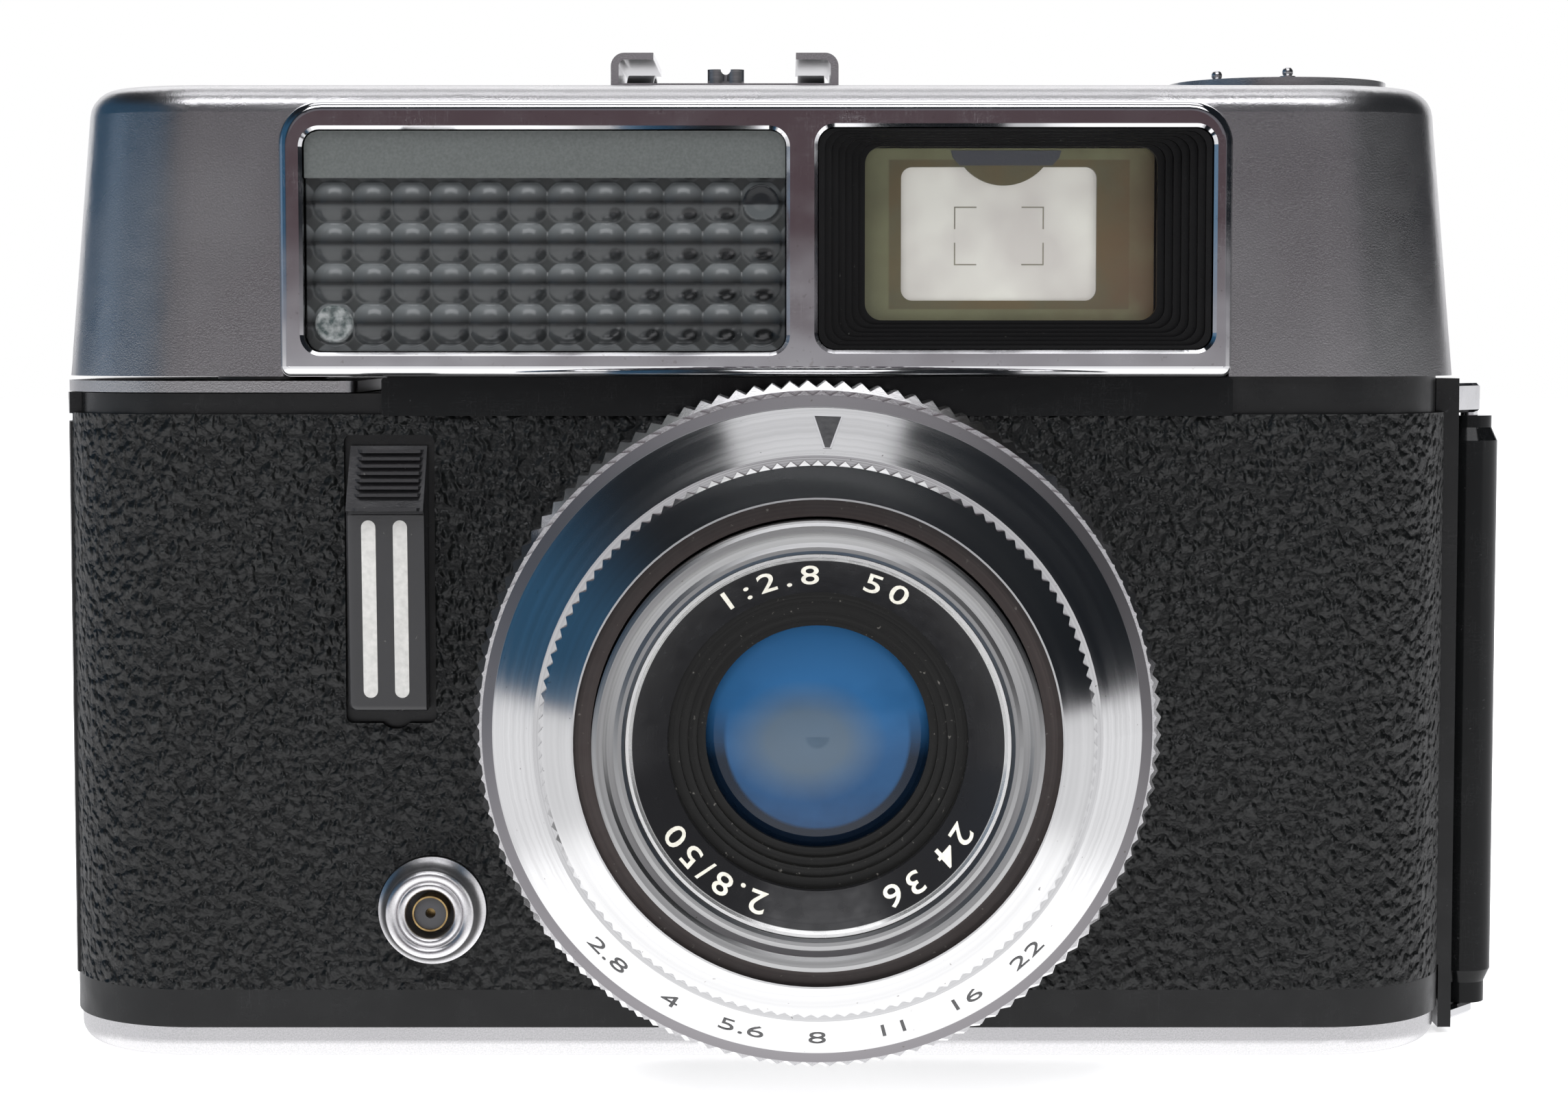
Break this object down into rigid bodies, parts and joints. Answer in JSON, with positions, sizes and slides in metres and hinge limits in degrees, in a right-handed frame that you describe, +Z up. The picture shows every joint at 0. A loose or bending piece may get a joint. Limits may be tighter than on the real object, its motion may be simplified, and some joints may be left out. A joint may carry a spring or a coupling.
{
  "type": "viewfinder camera",
  "caption": "35 mm viewfinder camera with fixed lens, selenium meter window, front release slider, advance lever, rewind knob and hinged back door.",
  "frame": {"origin": "mouth of the tripod socket, in the plane the camera stands on", "axes": "+X to the right seen from the front, +Y to the back, +Z up"},
  "size_m": [0.1315, 0.068, 0.089],
  "materials": {
    "casting_black": "satin black enamel over a die casting",
    "leatherette": "pebbled black leatherette",
    "gloss_black": "glossy black enamel",
    "satin_chrome": "fine satin chrome",
    "bright_chrome": "polished chrome",
    "turned_chrome": "fine turned and chromed",
    "steel": "brushed steel",
    "brass": "turned brass",
    "black_plastic": "matt black moulding",
    "black_metal": "black anodised",
    "meter_plastic": "clear lenticular moulding",
    "selenium": "dark purple-grey cell",
    "glass": "polished glass",
    "coated_glass": "blue coated glass",
    "mask": "tarnished gold mirror coating",
    "white_plastic": "white dial",
    "spring_steel": "spring steel"
  },
  "bodies": {
    "camera": {"body_casting": "casting_black", "front_leather": "leatherette", "waist_panel": "gloss_black", "base_plate": "satin_chrome", "tripod_bush": "bright_chrome", "base_screws": "bright_chrome", "film_gate": "steel", "top_cover": "satin_chrome", "cover_screws": "bright_chrome", "window_frame": "bright_chrome", "meter_window": "meter_plastic", "selenium_cell": "selenium", "meter_movement": "black_metal", "finder_funnel": "black_plastic", "finder_front_lens": "glass", "finder_tunnel": "black_plastic", "finder_mask": "mask", "eyepiece_bezel": "black_plastic", "finder_rear_lens": "glass", "accessory_shoe": "bright_chrome", "shoe_spring": "spring_steel", "flash_socket_ring": "bright_chrome", "flash_socket_insulator": "black_plastic", "flash_socket_contact": "brass", "hinge_pin": "bright_chrome", "counter_window": "glass", "release_spring": "spring_steel", "shutter_housing": "turned_chrome", "shutter_plate": "black_metal", "face_cone": "turned_chrome", "middle_element": "coated_glass", "rear_element": "coated_glass"},
    "door": {"back_door": "casting_black", "door_leather": "leatherette", "door_knuckle": "gloss_black", "pressure_plate": "black_metal", "pressure_spring": "spring_steel"},
    "latch": {"door_latch": "bright_chrome"},
    "lever": {"advance_lever": "satin_chrome", "lever_hub": "steel"},
    "spool": {"take_up_spool": "black_plastic"},
    "sprocket_shaft": {"sprocket": "black_plastic"},
    "counter": {"counter_dial": "white_plastic"},
    "rewind_lift": {"rewind_sleeve": "brass"},
    "rewind": {"rewind_knob": "satin_chrome", "rewind_shaft": "steel"},
    "reminder": {"reminder_dial": "turned_chrome"},
    "release": {"release_slider": "black_plastic"},
    "setting": {"setting_ring": "turned_chrome"},
    "focusing": {"focus_ring": "turned_chrome", "focus_liner": "black_metal"},
    "front_cell": {"front_rim": "turned_chrome", "name_ring": "black_metal", "front_baffle": "black_metal", "front_element": "coated_glass"},
    "shutter_leaf_1": {"shutter_blade_1": "spring_steel"},
    "shutter_leaf_2": {"shutter_blade_2": "spring_steel"},
    "aperture_leaf_1": {"aperture_blade_1": "spring_steel"},
    "aperture_leaf_2": {"aperture_blade_2": "spring_steel"},
    "needle": {"meter_needle": "brass"}
  },
  "joints": [
    {"name": "door_hinge", "type": "hinge", "parent": "camera", "child": "door", "pos_m": [0.066, 0.001, 0.03], "axis": [0, 0, -1], "range_deg": [0, 125]},
    {"name": "latch_slide", "type": "slide", "parent": "door", "child": "latch", "axis": [0, 0, -1], "range_m": [0, 0.003]},
    {"name": "advance_stroke", "type": "hinge", "parent": "camera", "child": "lever", "pos_m": [-0.0445, -0.002, 0.0594], "axis": [0, 0, 1], "range_deg": [0, 140], "stiffness_Nm_per_rad": 0.002},
    {"name": "spool_wind", "type": "hinge", "parent": "camera", "child": "spool", "pos_m": [-0.0445, -0.002, 0.03], "axis": [0, 0, 1], "range_deg": [0, 300]},
    {"name": "sprocket_turn", "type": "hinge", "parent": "camera", "child": "sprocket_shaft", "pos_m": [-0.0255, 0.0046, 0.03], "axis": [0, 0, 1], "range_deg": [0, 360]},
    {"name": "counter_step", "type": "hinge", "parent": "camera", "child": "counter", "pos_m": [-0.0445, -0.002, 0.0832], "axis": [0, 0, 1], "range_deg": [0, 10]},
    {"name": "rewind_raise", "type": "slide", "parent": "camera", "child": "rewind_lift", "axis": [0, 0, 1], "range_m": [0, 0.008]},
    {"name": "rewind_turn", "type": "hinge", "parent": "rewind_lift", "child": "rewind", "pos_m": [0.0476, 0, 0.08], "axis": [0, 0, 1], "continuous": true},
    {"name": "reminder_turn", "type": "hinge", "parent": "rewind", "child": "reminder", "pos_m": [0.0476, 0, 0.0873], "axis": [0, 0, 1], "continuous": true},
    {"name": "release_press", "type": "slide", "parent": "camera", "child": "release", "axis": [0, 0, -1], "range_m": [0, 0.0011], "stiffness_N_per_m": 600, "deforming": ["release_spring"]},
    {"name": "setting_turn", "type": "hinge", "parent": "camera", "child": "setting", "pos_m": [0.00508, -0.03, 0.03165], "axis": [0, -1, 0], "range_deg": [-20, 60]},
    {"name": "focus_turn", "type": "hinge", "parent": "camera", "child": "focusing", "pos_m": [0.00508, -0.043, 0.03165], "axis": [0, -1, 0], "range_deg": [0, 240]},
    {"name": "focus_travel", "type": "slide", "parent": "focusing", "child": "front_cell", "axis": [0, -1, 0], "range_m": [0, 0.0014]},
    {"name": "shutter_open_1", "type": "hinge", "parent": "camera", "child": "shutter_leaf_1", "pos_m": [0.00508, -0.028, 0.04965], "axis": [0, -1, 0], "range_deg": [0, 38]},
    {"name": "shutter_open_2", "type": "hinge", "parent": "camera", "child": "shutter_leaf_2", "pos_m": [0.00508, -0.028, 0.01365], "axis": [0, -1, 0], "range_deg": [0, 38]},
    {"name": "aperture_open_1", "type": "hinge", "parent": "camera", "child": "aperture_leaf_1", "pos_m": [0.02608, -0.027, 0.03165], "axis": [0, -1, 0], "range_deg": [-6, 17]},
    {"name": "aperture_open_2", "type": "hinge", "parent": "camera", "child": "aperture_leaf_2", "pos_m": [-0.01592, -0.027, 0.03165], "axis": [0, -1, 0], "range_deg": [-6, 17]},
    {"name": "needle_swing", "type": "hinge", "parent": "camera", "child": "needle", "pos_m": [-0.02, 0, 0.0706], "axis": [0, 0, 1], "range_deg": [0, 40]}
  ],
  "couplings": [
    {"joint": "spool_wind", "follows": "advance_stroke", "ratio": 2.1},
    {"joint": "sprocket_turn", "follows": "advance_stroke", "ratio": 2.5714},
    {"joint": "counter_step", "follows": "advance_stroke", "ratio": 0.0643},
    {"joint": "focus_travel", "follows": "focus_turn", "m_per_rad": 0.000334},
    {"joint": "shutter_open_2", "follows": "shutter_open_1", "ratio": 1},
    {"joint": "aperture_open_1", "follows": "setting_turn", "ratio": 0.28},
    {"joint": "aperture_open_2", "follows": "setting_turn", "ratio": 0.28}
  ]
}
